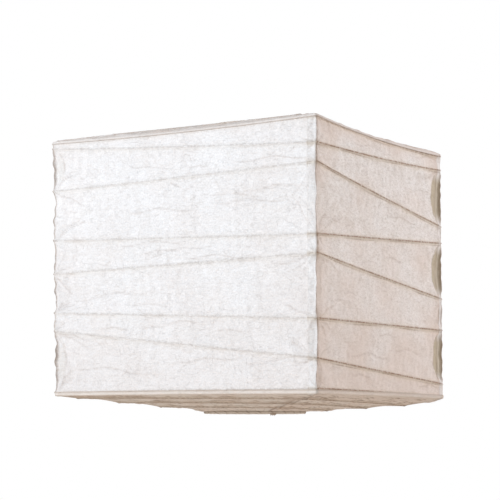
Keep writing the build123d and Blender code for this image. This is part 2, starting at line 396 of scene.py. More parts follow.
def near_corner(side, corner, away, sign, q, z, depth):
    """What a vertical corner adds to a side: how far in, how far along, and the painted shade of its
    line and its tucks. sign is 1 at the corner where the side starts and -1 where it ends."""
    between, radius, sizes, pulls, inset = corner_shape(corner, z)
    wide, deep = (sizes[2], sizes[3]) if sign > 0 else (sizes[0], sizes[1])
    own_pull, other_pull = pulls if sign > 0 else pulls[::-1]
    valley = np.minimum(TUCK_VALLEY["share"] * wide, TUCK_VALLEY["most"])
    fall = unit((wide - away) / np.maximum(wide - valley, 0.5 * MM))
    rise = unit((valley - away) / np.maximum(valley, 0.5 * MM))
    near = unit(1 - away / PULL_REACH) ** 1.5
    angle = QUARTER / 2 * unit(1 - away / radius)
    turned = away < radius
    sink = deep * fall * (1 - rise**1.5) + own_pull * near
    sink = sink + np.where(turned, (radius - depth) * (1 - np.cos(angle)), 0)
    run = np.where(turned, radius - (radius - depth) * np.sin(angle) - away, 0)
    along = sign * ((other_pull + inset) * near + run)

    # painted shade along the tucks' outlines and along the corner's line
    uneven = np.clip(0.75 + 0.5 * waves(q, z, 95 + corner, 12 * MM, 8), 0.1, 1)
    outline = TUCK_LINE[side] * uneven * unit((deep - 0.9 * MM) / (1.2 * MM))
    line = unit(0.65 + 0.35 * between + 0.3 * waves(z, 0 * z, 90 + corner, 9 * MM, 8))
    fold = np.maximum(outline * bell(away - wide, TUCK_LINE_WIDTH), line * bell(away, CORNER_LINE[sign]))
    strong = unit((deep - 1.8 * MM) / (1.8 * MM))
    # painted shade inside a deep tuck
    tuck = unit((wide - away) / (0.8 * MM)) * strong * TUCK_SHADE[side]
    return sink, along, fold, tuck


def band_sink(side, q, z, lines):
    """How far in the paper of a side is, from the bow of its lines and the sag between them."""
    bows = line_bows(side, q)
    sink = np.zeros_like(q)
    sag = np.zeros_like(q)
    for k in range(len(lines) - 1):
        gap = lines[k] - lines[k + 1]
        t = (lines[k] - z) / np.maximum(gap, TINY)
        inside = (t >= 0) & (t <= 1)
        t = unit(t)
        sink = np.where(inside, bows[k] + (bows[k + 1] - bows[k]) * t, sink)
        sag = np.where(inside, np.minimum(SAG["most"], SAG["share"] * gap) * 4 * t * (1 - t), sag)
    sink = np.where(z > lines[0], bows[0], sink)
    sink = np.where(z < lines[-1], bows[-1], sink)
    return sink + sag * unit(np.minimum(q + D, D - q) / SAG_START)


def side_browning_and_shade(side, q, z):
    """Paint for browned paper beside the corners and the upper edge, and painted shade that darkens a
    side along and towards its lower edge.
    """
    corner = 0.55 * np.exp(-np.minimum(q + D, D - q) / (22 * MM))
    # the lower edge's term here and low below are painted shade, a side darker towards its bottom
    edges = np.exp(-z / (20 * MM)) + 0.8 * np.exp(-(HEIGHT - z) / (16 * MM))
    low = 0.8 * unit(1 - z / (0.75 * HEIGHT))
    return unit(corner + edges + low + 0.18 * waves(q, z, 37 + side, 90 * MM))


def side_surface(side, q, z, depth=0.0):
    """Points and paint of the paper of a side. depth is how far under its face the points are."""
    q, z = np.broadcast_arrays(np.asarray(q, float), np.asarray(z, float))
    lines = line_heights(side, q)
    nearest = np.abs(lines - z).min(axis=0)
    inner = np.abs(lines[1:-1] - z).min(axis=0)
    free = (1 - bell(nearest, CALM)) * unit(np.minimum(q + D, D - q) / RELIEF_START)
    sink = band_sink(side, q, z, lines) + RIDGE * (1 - bell(inner, RIDGE_WIDTH))
    for number, (height, length, share, count) in enumerate(SIDE_RELIEF):
        seed = 7 + 10 * number + side
        sink = sink + free * height * MM * waves(share * q, z, seed, length * MM, count)
    fold = np.zeros_like(q)
    for crease in CREASES[side]:
        height, near = crease.field(q, z)
        sink = sink + free * height
        # painted shade along each crease
        fold = np.maximum(fold, 0.4 * near * min(1, abs(crease.height) / (0.8 * MM)))

    t = (q + D) / (2 * D)
    high = unit(z / HEIGHT) * MM
    start, end = LEAN[side], LEAN[(side + 1) % 4]
    sink = sink - high * (start[1] * (1 - t) + end[0] * t)
    along = q + high * (end[1] * t - start[0] * (1 - t))
    tuck = np.zeros_like(q)
    for corner, away, sign in ((side, q + D, 1), (side + 1, D - q, -1)):
        more_sink, more_along, more_fold, more_tuck = near_corner(side, corner, away, sign, q, z, depth)
        sink, along = sink + more_sink, along + more_along
        fold, tuck = np.maximum(fold, more_fold), np.maximum(tuck, more_tuck)
    sink = sink + edge_roll(lines[0] - z) + edge_roll(z - lines[-1])
    points = np.stack([along, -(FACE - depth - sink), z + LOWER], axis=-1)

    signed = lines[1:-1] - z
    at = np.abs(signed).argmin(axis=0)
    off = np.take_along_axis(signed, at[None], axis=0)[0]
    paint = {"rib": rib_stain_and_shadow(off, q, side + 4 * at), "glue": rib_glow(off), "fold": fold}
    return points @ side_turn(side).T, {**paint, "tuck": tuck, "browning_and_shade": side_browning_and_shade(side, q, z)}


def rib_stain_and_shadow(off, q, number):
    """Painted stain and shadow for a rib: a line on the wire, the glue's stain with the wire's painted
    shadow, and a fainter line of painted shade where the paper comes off it.
    """
    second = 2.2 * MM + 0.6 * MM * np.sin(q / (31 * MM) + 1.7 * number)
    fade = 0.5 + 0.3 * np.sin(q / (19 * MM) + 2.3 * number)
    return np.maximum(bell(off + 0.2 * MM, 1.0 * MM), fade * bell(off - second, 0.7 * MM))


def rib_glow(off):
    """Paint for the glue that has soaked in round a rib."""
    return bell(off - 0.8 * MM, 3.2 * MM)


def end_drop(end, side, q, share, lines):
    """How far down the paper of an end is for its relief, and the painted shade of its pleats, fine
    folds and seam.
    """
    narrow = 1 - NARROWS * share
    spread, inwards = q * narrow, share * END_SLOPE
    from_seam = (D - np.abs(q)) * narrow
    seed = END_SEED[end] + side
    nearest = np.abs(lines[1:-1] - share).min(axis=0) * END_SLOPE
    free = (1 - bell(nearest, CALM)) * unit(share / 0.04) * unit((1 - share) / 0.06)
    free = free * unit(from_seam / SEAM_CALM)
    drop = RIDGE * (1 - bell(nearest, RIDGE_WIDTH))
    for k in range(len(lines) - 1):
        gap = lines[k + 1] - lines[k]
        s = (share - lines[k]) / np.maximum(gap, TINY)
        inside = (s >= 0) & (s <= 1)
        sag = END_SAG[end] * np.minimum(1.8 * MM, 0.04 * gap * END_SLOPE) * 4 * s * (1 - s)
        drop = np.where(inside, drop + sag, drop)
    line = waves(0.05 * spread, inwards, seed + 60, 8 * MM, 20)
    angle = QUARTER / 2 * q / D + QUARTER * (side - 1)
    fan = RING_FAN * (angle + 0.04 * waves(inwards, spread * 0, seed + 40, 50 * MM))
    drop = drop + free * 0.5 * MM * waves(spread, inwards, seed, 45 * MM)
    drop = drop + free * 0.2 * MM * waves(spread, inwards, seed + 20, 13 * MM)
    drop = drop + free * 0.22 * MM * line
    drop = drop + free * 0.3 * MM * share**1.5 * (1 - np.abs(np.sin(fan / 2)) * 2)
    fold = bell(np.sin(fan / 2), 0.12) * unit(share * 2 - 0.5) * 0.5
    fold = np.maximum(fold, LINE_SHADE[end] * bell(line, 0.2) * free)
    return drop, np.maximum(fold, 0.9 * bell(from_seam, SEAM_WIDTH[end]))


def end_surface(end, side, q, share, depth=0.0):
    """Points and paint of the paper of the top or bottom, from a side's edge to the ring."""
    q, share = np.broadcast_arrays(np.asarray(q, float), np.asarray(share, float))
    edge, _ = side_surface(side, q, line_heights(side, q)[EDGE_ROW[end]], depth)
    angle = QUARTER / 2 * q / D + QUARTER * (side - 1)
    radius = RING_RADIUS + BINDING_RADIUS - INTO_BINDING
    ring_z = np.full_like(q, RING_Z[end])
    ring = np.stack([radius * np.cos(angle), radius * np.sin(angle), ring_z], axis=-1)
    points = edge * (1 - share[..., None]) + ring * share[..., None]

    t = (q + D) / (2 * D)
    lines = np.array([a + (b - a) * t for a, b in end_lines(end, side)])
    swell = (SWELL[end][side] * (1 - t) + SWELL[end][(side + 1) % 4] * t) * MM
    swell = swell * (1 - np.exp(-share / SWELL_REACH)) * (1 - share) ** 0.8
    drop, fold = end_drop(end, side, q, share, lines)
    drop = drop * unit(share / 0.02) + depth * unit(share / 0.03)
    points[..., 2] += UP[end] * (swell - drop)

    signed = (lines[1:-1] - share) * END_SLOPE
    off = np.take_along_axis(signed, np.abs(signed).argmin(axis=0)[None], axis=0)[0]
    patches = waves(q * (1 - NARROWS * share), share * END_SLOPE, END_SEED[end] + side + 80, 70 * MM)
    # browner top and bottom: painted shade where less light falls on them
    browning_and_shade = unit(END_BROWNING_AND_SHADE[side] + 0.3 * patches)
    paint = {"rib": rib_stain_and_shadow(off * STAIN_AND_SHADOW_SHARE[end], q, side), "glue": rib_glow(off), "fold": fold}
    return points, {**paint, "tuck": np.zeros_like(q), "browning_and_shade": browning_and_shade}


# ---------- meshes
FINE = [x * MM for x in (0, 0.35, 0.7, 1.1, 1.6, 2.3, 3.2, 4.4)]  # close to a line or corner
GRID = 1.9 * MM  # and elsewhere
END_GRID = 2.2 * MM
LAP_FADE = 1 * MM
TEXTURE_STEP = (0.9, 0.31)  # from one side's sheets to the next side's
TEXTURE_START = {"side": 0, "top": 5.1, "bottom": 9.3, "binding": 14, "tail": 20}
WIRE_SIDES = 8


def linked(name, data):
    """A new object in the scene."""
    added = bpy.data.objects.new(name, data)
    scene.collection.objects.link(added)
    return added


def mesh_object(name, vertices, faces, paint):
    """A smooth mesh, painted point by point. Each kind of paint is an attribute of its points."""
    mesh = bpy.data.meshes.new(name)
    mesh.from_pydata(vertices, [], faces)
    for key, values in paint.items():
        kind, field = ("FLOAT_VECTOR", "vector") if values.ndim == 3 else ("FLOAT", "value")
        layer = mesh.attributes.new(key, kind, "POINT")
        layer.data.foreach_set(field, values.reshape(-1))
    mesh.polygons.foreach_set("use_smooth", [True] * len(mesh.polygons))
    mesh.validate()
    mesh.update()
    return linked(name, mesh)


def grid_object(name, points, paint):
    """A mesh of quads through a grid of points."""
    index = np.arange(points.shape[0] * points.shape[1]).reshape(points.shape[:2])
    corners = [index[:-1, :-1], index[:-1, 1:], index[1:, 1:], index[1:, :-1]]
    quads = np.stack(corners, axis=-1).reshape(-1, 4)
    return mesh_object(name, points.reshape(-1, 3).tolist(), quads.tolist(), paint)


def spaced(low, high, step, fine=FINE):
    """Numbers from low to high, closely spaced at both ends."""
    near = [x for x in fine if x < (high - low) / 2.2]
    middle_low, middle_high = low + near[-1], high - near[-1]
    count = max(1, round((middle_high - middle_low) / step))
    middle = np.linspace(middle_low, middle_high, count + 1)
    return np.concatenate([[low + x for x in near[:-1]], middle, [high - x for x in near[-2::-1]]])


def band_rows(gaps):
    """Row numbers that run from line to line. gaps are the widest gaps, in metres."""
    rows = [k + (spaced(0, gap, GRID) / gap)[:-1] for k, gap in enumerate(gaps)]
    return np.concatenate([*rows, [len(gaps)]])


def at_rows(lines, rows):
    """Values between lines, for row numbers. lines has one row for each line."""
    k = np.minimum(rows.astype(int), len(lines) - 2)
    f = (rows - k)[:, None]
    return lines[k] * (1 - f) + lines[k + 1] * f


def side_by_side(first, second):
    """The paint of two grids that stand side by side."""
    return {key: np.hstack([first[key], second[key]]) for key in second}


def texture_place(u, v, start, side=0):
    """Where a sheet's points lie in the paper's texture."""
    step, depth = TEXTURE_STEP
    u, v = np.broadcast_arrays(u + step * side, v + TEXTURE_START[start])
    return np.stack([u, v, np.full_like(u, depth * side)], axis=-1)


def side_sheet(side):
    """One side of the shade, with the flap that laps round its first corner."""
    lines = side_lines(side)
    gaps = [max(a[0] - b[0], a[1] - b[1]) for a, b in zip(lines, lines[1:])]
    own = spaced(-D, D, GRID)
    height = at_rows(line_heights(side, own), band_rows(gaps))
    height[0] -= EDGE_GAP
    height[-1] += EDGE_GAP
    fade = unit(1 - (own + D) / FLAP_FADE)
    points, paint = side_surface(side, own[None, :], height, -FLAP_LIFT * fade[None, :])

    before = (side - 1) % 4
    over = -D - np.concatenate([np.arange(FLAP, FLAP_NEAR, -FLAP_STEP), FLAP_LAST])
    lap_q = over + 2 * D
    behind = line_heights(before, np.array([D]))[:, 0]
    number = np.interp(-height[:, 0], -behind, np.arange(len(behind)))
    lap_height = at_rows(line_heights(before, lap_q), number)
    lap_points, lap_paint = side_surface(before, lap_q[None, :], lap_height, -FLAP_LIFT)

    points = np.hstack([lap_points, points])
    paint = side_by_side(lap_paint, paint)
    v = np.hstack([lap_height, height])
    u = np.broadcast_to(np.concatenate([over, own]), v.shape)
    lap = np.where(u < -D, 1.0, unit((u - (D - FLAP)) / LAP_FADE))
    # painted shade along the flap's free edge
    paint["fold"][:, : len(FLAP_LAST)] = FLAP_LINE
    paint["rib"][:, : len(over)] *= FLAP_STAIN_AND_SHADOW[side]
    paint["browning_and_shade"] *= unit((u + D + LAP_FADE) / LAP_FADE)
    paint = {"sheet": texture_place(u, v, "side", side), "lap": lap, **paint}
    return grid_object(f"side_sheet_{SIDES[side]}", points, paint)


def lip_rows(end, side, q, lift):
    """Points of the lip of an end sheet over the edge of a side, from its free edge inwards."""
    steps = np.array(LIP_STEPS)[:, None] * LIP[end]
    edge = line_heights(side, q)[EDGE_ROW[end]]
    points, _ = side_surface(side, q[None, :], edge - UP[end] * steps, -lift)
    return points


def end_sheet(end, side):
    """A quarter of the top or bottom, with its lip over the side and a flap over its neighbour."""
    lines = end_lines(end, side)
    gaps = [max(b[0] - a[0], b[1] - a[1]) * END_SLOPE for a, b in zip(lines, lines[1:])]
    own = spaced(-D, D, END_GRID)
    t = (own + D) / (2 * D)
    share = at_rows(np.array([a + (b - a) * t for a, b in lines]), band_rows(gaps))
    points, paint = end_surface(end, side, own[None, :], share)
    points[..., 2] += UP[end] * FLAP_LIFT * unit(1 - (own + D) / FLAP_FADE)

    before = (side - 1) % 4
    over = -np.arange(END_FLAP, 0, -END_FLAP_STEP)
    width = 2 * D * (1 - share[:, :1]) + QUARTER * RING_RADIUS * share[:, :1]
    lap_q = D + over[None, :] * 2 * D / width
    lap_share = np.repeat(share[:, :1], len(over), axis=1)
    lap_points, lap_paint = end_surface(end, before, lap_q, lap_share)
    lap_points[..., 2] += UP[end] * FLAP_LIFT
    paint = side_by_side(lap_paint, paint)

    lip = [lip_rows(end, before, over + D, LIP_LAP_LIFT), lip_rows(end, side, own, LIP_LIFT)]
    lip = np.hstack(lip)
    bare = np.zeros(lip.shape[:2])
    line = bare.copy()
    line[: len(LIP_LINE)] = np.array(LIP_LINE)[:, None]
    lip_paint = {"browning_and_shade": bare + LIP_BROWNING_AND_SHADE[end], "glue": bare + LIP_GLUE, "fold": line}
    grid = np.concatenate([lip, np.hstack([lap_points, points])])
    paint = {key: np.concatenate([lip_paint.get(key, bare), paint[key]]) for key in paint}
    lap = np.zeros(grid.shape[:2])
    lap[: len(lip)] = 1
    lap[:, : len(over)] = 1

    lap_u = np.broadcast_to(over - D, lap_share.shape)
    u = np.hstack([lap_u, own * (1 - NARROWS * share)])
    u = np.concatenate([np.repeat(u[:1], len(lip), axis=0), u])
    reach = np.concatenate([-np.array(LIP_STEPS) * LIP[end], share[:, 0] * END_SLOPE])
    v = np.repeat(reach[:, None], u.shape[1], axis=1)
    paint.update(sheet=texture_place(u, v, end, side), lap=lap)
    if end == "top":
        grid = grid[::-1]
        paint = {key: values[::-1] for key, values in paint.items()}
    return grid_object(f"{end}_sheet_{SIDES[side]}", grid, paint)


def travelled(path):
    """How far along a path each of its points is."""
    return np.concatenate([[0], np.cumsum(np.linalg.norm(np.diff(path, axis=0), axis=1))])


def tube_object(name, path, radius):
    """A round wire through a path of points, with closed ends."""
    tangent = np.gradient(path, axis=0)
    tangent /= np.linalg.norm(tangent, axis=1)[:, None]
    side = np.cross(tangent, [0, 0, 1])
    side /= np.linalg.norm(side, axis=1)[:, None]
    up = np.cross(side, tangent)
    angles = np.linspace(0, 2 * math.pi, WIRE_SIDES, endpoint=False)
    c, s = np.cos(angles)[None, :, None], np.sin(angles)[None, :, None]
    points = path[:, None, :] + radius * (c * side[:, None, :] + s * up[:, None, :])

    last = (len(path) - 1) * WIRE_SIDES
    faces = []
    for i in range(0, last, WIRE_SIDES):
        for j in range(WIRE_SIDES):
            k = (j + 1) % WIRE_SIDES
            faces.append((i + j, i + k, i + WIRE_SIDES + k, i + WIRE_SIDES + j))
    faces.append(tuple(range(WIRE_SIDES))[::-1])
    faces.append(tuple(range(last, last + WIRE_SIDES)))
    along, around = np.broadcast_arrays(travelled(path)[:, None], angles * radius)
    sheet = np.stack([along, around, 0 * around], axis=-1)
    return mesh_object(name, points.reshape(-1, 3).tolist(), faces, {"sheet": sheet})


# ---------- rib paths
PATH_Q = spaced(-D, D, 7 * MM, [x * MM for x in (0, 0.6, 1.2, 1.9, 2.7, 3.6, 4.6, 5.8)])
PATH_STEP = 1.5 * MM
PATH_EASING = 6  # times that its corners are eased
WIRE_DEPTH = RIB_RADIUS + PAPER_LIFT


def rib_run(part, side, line, low=-D, high=D):
    """A rib's run across a side, or across a quarter of the top or bottom, just under the paper."""
    q = PATH_Q[(PATH_Q >= low - TINY) & (PATH_Q <= high + TINY)]
    if part == "side":
        points, _ = side_surface(side, q, line_heights(side, q)[line], WIRE_DEPTH)
    else:
        a, b = end_lines(part, side)[line]
        points, _ = end_surface(part, side, q, a + (b - a) * (q + D) / (2 * D), WIRE_DEPTH)
    return points


def smoothed(runs):
    """Runs joined to one path in even steps, its corners eased."""
    path = np.concatenate(runs)
    length = travelled(path)
    keep = np.concatenate([[True], np.diff(length) > SAME])
    even = np.linspace(0, length[-1], int(length[-1] / PATH_STEP))
    path = np.stack([np.interp(even, length[keep], path[keep, i]) for i in range(3)], axis=1)
    for _ in range(PATH_EASING):
        path[1:-1] = (path[:-2] + 2 * path[1:-1] + path[2:]) / 4
    return path


def rib_paths():
    """The runs of each rib node. Like the CAD wire, each turn is cut mid left side."""
    top, down, bottom = END_RIBS["top"], SIDE_RIBS, END_RIBS["bottom"]
    lower = [("bottom", line) for line in range(1, len(bottom) + 1)]
    turns = [("top", line) for line in range(len(top), 0, -1)]
    turns += [("side", line) for line in range(1, len(down) + 1)]
    crossings = [*turns[:-1], *lower]  # of the left side, where one turn passes into the next
    turns += lower
    paths = {}
    for k, node in enumerate([*top, *down, *bottom]):
        part, line = turns[k]
        runs = [rib_run(part, side, line) for side in range(3)]
        if k > 0:
            part, line = crossings[k - 1]
            runs.insert(0, rib_run(part, 3, line, low=0))
        if k < len(crossings):
            part, line = crossings[k]
            runs.append(rib_run(part, 3, line, high=0))
        paths[node] = runs
    return paths


# ---------- materials
class Nodes:
    """A short way to build the nodes of a material or a world."""

    def __init__(self, owner, output="OutputMaterial"):
        owner.use_nodes = True
        self.owner, self.tree = owner, owner.node_tree
        self.tree.nodes.clear()
        self.out = self.add(output)

    def add(self, kind, inputs=None, **settings):
        node = self.tree.nodes.new("ShaderNode" + kind)
        for key, value in settings.items():
            setattr(node, key, value)
        for key, value in (inputs or {}).items():
            if isinstance(value, bpy.types.NodeSocket):
                self.tree.links.new(value, node.inputs[key])
            else:
                node.inputs[key].default_value = value
        return node

    def math(self, operation, a, b=0.0):
        return self.add("Math", {0: a, 1: b}, operation=operation).outputs[0]

    def times(self, a, b):
        return self.math("MULTIPLY", a, b)

    def noise(self, vector, scale, detail=2.0, distortion=0.0):
        inputs = {"Vector": vector, "Scale": scale, "Detail": detail, "Distortion": distortion}
        return self.add("TexNoise", inputs).outputs["Fac"]

    def remap(self, value, low, high, to_low=0.0, to_high=1.0):
        inputs = {"Value": value, "From Min": low, "From Max": high, "To Min": to_low, "To Max": to_high}
        return self.add("MapRange", inputs).outputs["Result"]

    def mix(self, factor, a, b, blend="MIX"):
        inputs = {0: factor, 6: a, 7: b}
        return self.add("Mix", inputs, data_type="RGBA", blend_type=blend).outputs[2]

    def attribute(self, name, output="Fac"):
        return self.add("Attribute", attribute_name=name).outputs[output]

    def shift(self, vector, offset, scale=(1, 1, 1)):
        inputs = {"Vector": vector, "Location": offset, "Scale": scale}
        return self.add("Mapping", inputs).outputs[0]

    def bump(self, height, strength, distance):
        inputs = {"Height": height, "Strength": strength, "Distance": distance}
        return self.add("Bump", inputs).outputs[0]

    def fibres(self, vector, scale, width):
        """Thin curved lines: where a distorted noise crosses its middle value."""
        level = self.noise(vector, scale, 1.5, 0.6)
        line = self.math("ABSOLUTE", self.math("SUBTRACT", level, 0.5))
        return self.remap(line, 0.0, width, 1.0, 0.0)

    def finish(self, shader):
        self.tree.links.new(shader, self.out.inputs["Surface"])
        return self.owner


def colour(tint, shares=(1, 1, 1)):
    """A tint as a node takes it, each of its parts times a share."""
    return (*[part * share for part, share in zip(tint, shares)], 1.0)


WASHI_TINT = (0.90, 0.885, 0.875)
# the same paper painted darker and warmer for the bottom: painted shade
BOTTOM_SHADED_TINT = (0.86, 0.83, 0.79)
BINDING_TINT = (0.80, 0.71, 0.62)
# Shares of the tint in its clouds, mottle, crinkles and grain
CLOUD, MOTTLE = (0.965, 0.965, 0.965), (0.72, 0.66, 0.6)
CRINKLE, GRAIN = (0.7, 0.66, 0.62), (0.7, 0.68, 0.66)
# Colours that the paint brings in; the browned, tucked, folded and stained colours carry painted shade,
# the browned and stained ones also real browning and glue stain
FIBRE, BROWNING_AND_SHADE_COLOUR, GLUED = (0.62, 0.55, 0.47), (0.74, 0.63, 0.56), (0.66, 0.56, 0.42)
TUCK_SHADOW_COLOUR, FOLD_SHADE_COLOUR, LAPPED = (0.44, 0.37, 0.27), (0.33, 0.235, 0.17), (0.80, 0.69, 0.60)
STAIN_AND_SHADOW_COLOUR = (0.25, 0.148, 0.09)
THROUGH_TINT = (1.0, 0.88, 0.76)  # of the light that comes through


def paper_fibres(n, at):
    """Long, short and hair-thin fibres, the first two in patches."""
    long_fibre = n.fibres(n.shift(at, (1, 5, 0), (1.0, 1.9, 1)), 30, 0.006)
    short_fibre = n.fibres(n.shift(at, (4, 2, 0), (1.6, 1.0, 1)), 75, 0.012)
    hair = n.fibres(n.shift(at, (8, 9, 0)), 170, 0.02)
    long_patch = n.remap(n.noise(n.shift(at, (2, 7, 0)), 55, 1), 0.5, 0.58)
    short_patch = n.remap(n.noise(n.shift(at, (6, 3, 0)), 90, 1), 0.48, 0.56)
    fibre = n.math("MAXIMUM", n.times(long_fibre, long_patch), n.times(short_fibre, short_patch))
    return n.math("MAXIMUM", fibre, n.times(hair, 0.5))


def paper_material(name, tint, stain_and_shadow, glue, browning_and_shade, through, relief=1.0):
    """Handmade paper with long fibres. stain and shadow, glue, and browning and shade say how strongly
    that paint shows, through how much light passes, and relief how strong the mottle and crinkles are
    off the laps. The folds, tucks, ribs' lines and the darker bottom of a side are painted shade, the
    ribs' lines partly glue stain too."""
    n = Nodes(bpy.data.materials.new(name))
    at = n.attribute("sheet", "Vector")
    cloud = n.noise(at, 14, 3)
    mottle = n.noise(n.shift(at, (3, 1, 0), (0.7, 1.2, 1)), 130, 3, 0.4)
    grain = n.noise(n.shift(at, (7, 2, 0)), 520, 3)
    crinkle = n.noise(n.shift(at, (9, 4, 0), (0.7, 1.7, 1)), 300, 3, 0.9)
    ragged = n.remap(n.noise(n.shift(at, (5, 5, 0)), 260, 2), 0.3, 0.6, 0.45, 1.0)
    fibre = paper_fibres(n, at)
    rib, fold, lap, tuck = (n.attribute(key) for key in ("rib", "fold", "lap", "tuck"))
    even = n.remap(lap, 0, 1, 1.0, 1 / relief)

    base = n.mix(n.remap(cloud, 0.3, 0.7), colour(tint, CLOUD), colour(tint))
    for strength, shade in (
        (n.times(n.remap(mottle, 0.42, 0.72, 0.0, 0.14 * relief), even), colour(tint, MOTTLE)),
        (n.times(n.remap(crinkle, 0.45, 0.7, 0.0, 0.28 * relief), even), colour(tint, CRINKLE)),
        (n.remap(grain, 0.42, 0.62, 0.0, 0.3), colour(tint, GRAIN)),
        (n.times(fibre, 0.14), colour(FIBRE)),
        (n.times(n.attribute("browning_and_shade"), browning_and_shade), colour(BROWNING_AND_SHADE_COLOUR)),
        (n.times(n.attribute("glue"), glue), colour(GLUED)),
        # painted shade in tucks and along folds, then the ribs' stain with the wires' painted shadow
        (n.times(tuck, 0.92), colour(TUCK_SHADOW_COLOUR)),
        (n.times(fold, 0.7), colour(FOLD_SHADE_COLOUR)),
        (n.times(lap, 0.09), colour(LAPPED)),
        (n.times(n.times(rib, ragged), stain_and_shadow), colour(STAIN_AND_SHADOW_COLOUR)),
    ):
        base = n.mix(strength, base, shade)

    lift = n.times(fibre, 0.6)
    for part, height in ((grain, 0.5), (mottle, 1.2), (crinkle, 1.6)):
        lift = n.math("ADD", lift, n.times(part, height))
    inputs = {"Base Color": base, "Roughness": 0.82, "Normal": n.bump(lift, 1.0, 0.5 * MM)}
    front = n.add("BsdfPrincipled", {**inputs, "Specular IOR Level": 0.18})
    warm = n.mix(1.0, base, colour(THROUGH_TINT), "MULTIPLY")
    back = n.add("BsdfTranslucent", {"Color": warm})
    passed = n.remap(cloud, 0.3, 0.7, through * 0.85, through * 1.1)
    for part, left in ((lap, 0.95), (rib, 0.25), (tuck, 0.5)):
        passed = n.times(passed, n.remap(part, 0, 1, 1.0, left))
    shader = n.add("MixShader", {0: passed, 1: front.outputs[0], 2: back.outputs[0]})
    return n.finish(shader.outputs[0])


def wire_material(name, tint, rough, metal, drawn=False):
    """Wire with faint scratches and dull patches, placed along it where it is drawn here."""
    n = Nodes(bpy.data.materials.new(name))
    if drawn:
        at = n.attribute("sheet", "Vector")
    else:
        at = n.add("TexCoord").outputs["Object"]
    patch = n.noise(at, 160, 3)
    scratch = n.noise(at, 1500, 2, 1.0)
    base = n.mix(n.remap(patch, 0.35, 0.7), colour(tint), colour(tint, (0.7, 0.7, 0.7)))
    bright = colour([min(1, part * 1.25) for part in tint])
    base = n.mix(n.remap(scratch, 0.55, 0.75, 0, 0.35), base, bright)
    gloss = n.remap(patch, 0.3, 0.7, rough - 0.08, rough + 0.14)
    inputs = {"Base Color": base, "Roughness": gloss, "Normal": n.bump(scratch, 0.2, 0.1 * MM)}
    shader = n.add("BsdfPrincipled", {**inputs, "Metallic": metal})
    return n.finish(shader.outputs[0])


# One paper: the other sides and the ends take stronger paint and relief than the front, as painted shade
# where less light falls on them
LOOKS = {  # tint, stain and shadow, glue, browning and shade, through and relief
    "front": (WASHI_TINT, 0.44, 0.14, 0.2, 0.34),
    "right": (WASHI_TINT, 1.0, 0.45, 0.6, 0.34, 2.6),
    "back": (WASHI_TINT, 0.8, 0.25, 0.45, 0.34),
    "left": (WASHI_TINT, 0.75, 0.2, 0.4, 0.34),
    "top": (WASHI_TINT, 0.85, 0.3, 0.6, 0.34),
    "bottom": (BOTTOM_SHADED_TINT, 1.0, 0.4, 0.5, 0.32, 1.8),
    "binding": (BINDING_TINT, 0.0, 0.0, 0.0, 0.1),
}
PAPERS = {name: paper_material(f"washi_{name}", *look) for name, look in LOOKS.items()}
RIB_WIRE = wire_material("rib_wire", (0.23, 0.17, 0.13), 0.45, 0.6, drawn=True)
RING_METAL = wire_material("ring_wire", (0.62, 0.61, 0.58), 0.32, 1.0)
STRETCHER = wire_material("stretcher_wire", (0.68, 0.66, 0.62), 0.28, 1.0)


# ---------- sheets and ribs
def soft(piece, material, slot, *replaced):
    """A piece of the shade, given its material and carried by the shade, in place of the CAD parts it
    replaces.
    """
    piece.data.materials.append(material)
    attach(piece, "shade")
    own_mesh(piece)
    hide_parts(*replaced)


for side, name in enumerate(SIDES):
    piece = side_sheet(side)
    soft(piece, PAPERS[name], "paper", f"side_paper_{name}")
    for end in RING_Z:
        piece = end_sheet(end, side)
        soft(piece, PAPERS[end], "paper", f"{end}_paper_{name}")

for node, runs in rib_paths().items():
    soft(tube_object(node + "_wire", smoothed(runs), RIB_RADIUS), RIB_WIRE, "rib_wire", node)

# ---------- bindings
BINDING_STEPS = 420, 22  # round the ring, and round its wire
BINDING_TURNS = 26  # of the strip of paper round the wire
BINDING_SWELL = 0.93, 0.16  # least share of its radius, and how much the strip adds
BINDING_STEP = 0.05  # width of the painted shade along the strip's edge, as a share of a turn
BINDING_TEXTURE = 2  # scale
TAIL_WIDTH = 9 * MM
TAIL_UP = 1.2 * MM  # how far it runs up under the binding
TAIL_PAPER = 0.3 * MM
TAIL_STEPS = 25, 13
# how strongly the whole scrap is painted with the folds' shade colour
TAIL_FOLD = 0.4


def closed(grid):
    """A grid with its first row and column repeated as its last."""
    grid = np.concatenate([grid, grid[:1]])
    return np.hstack([grid, grid[:, :1]])


